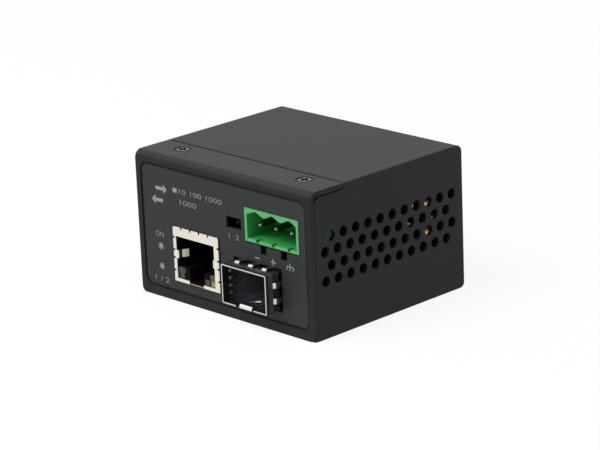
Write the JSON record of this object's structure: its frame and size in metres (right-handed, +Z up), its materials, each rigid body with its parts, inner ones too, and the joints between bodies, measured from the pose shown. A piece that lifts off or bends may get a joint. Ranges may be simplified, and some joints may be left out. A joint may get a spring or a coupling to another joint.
{
  "type": "fibre media converter",
  "caption": "Compact black sheet-metal network converter with a copper jack, a fibre module cage, a green power header, a mode switch window, lamps and a vented side.",
  "frame": {"origin": "centre of the case's flat underside", "axes": "+Z up, +X to the case's right seen from the front, front panel with the ports faces -Y"},
  "size_m": [0.058, 0.0544, 0.035],
  "materials": {
    "case_paint": "fine satin black powder coat on folded sheet",
    "label_film": "matt printed overlay film",
    "black_screw": "dark plated countersunk screw",
    "zinc_steel": "zinc plated steel",
    "brass_fixing": "bare brass",
    "board_green": "green solder mask",
    "tinned_shield": "tinned satin shield",
    "jack_black": "black moulded insulator",
    "contact_gold": "gold plated contact",
    "lamp_green": "unlit green lamp block",
    "lamp_yellow": "unlit yellow lamp block",
    "cage_nickel": "nickel plated stamped sheet",
    "terminal_green": "green moulded header",
    "pin_tin": "tin plated pin",
    "switch_black": "black moulded switch",
    "lever_grey": "dark nylon lever",
    "lamp_frost": "frosted lamp window",
    "chip_black": "moulded package",
    "can_steel": "pressed can",
    "capacitor_sleeve": "sleeved aluminium can",
    "ferrite_grey": "ferrite",
    "fuse_ceramic": "ceramic with plated caps"
  },
  "bodies": {
    "converter": {"case_shell": "case_paint", "front_cover": "case_paint", "front_label": "label_film", "cover_screws": "black_screw", "base_screws": "black_screw", "board_spacers": "zinc_steel", "main_board": "board_green", "power_board": "board_green", "board_standoffs": "brass_fixing", "rj45_shield": "tinned_shield", "rj45_housing": "jack_black", "rj45_contacts": "contact_gold", "rj45_led_green": "lamp_green", "rj45_led_yellow": "lamp_yellow", "sfp_cage": "cage_nickel", "sfp_emi_collar": "cage_nickel", "sfp_connector": "chip_black", "terminal_housing": "terminal_green", "terminal_pins": "pin_tin", "dip_switch_body": "switch_black", "led_holder": "switch_black", "led_link": "lamp_frost", "led_power": "lamp_frost", "switch_chip": "chip_black", "crystal": "can_steel", "bulk_capacitors": "capacitor_sleeve", "power_inductor": "ferrite_grey", "regulator_chip": "chip_black", "input_fuse": "fuse_ceramic", "board_link_socket": "switch_black", "board_link_header": "switch_black"},
    "switch_lever_1": {"dip_lever_1": "lever_grey"},
    "switch_lever_2": {"dip_lever_2": "lever_grey"}
  },
  "joints": [
    {"name": "lever_1_slide", "type": "slide", "parent": "converter", "child": "switch_lever_1", "axis": [0, 0, 1], "range_m": [0, 0.0013]},
    {"name": "lever_2_slide", "type": "slide", "parent": "converter", "child": "switch_lever_2", "axis": [0, 0, 1], "range_m": [0, 0.0013]}
  ]
}
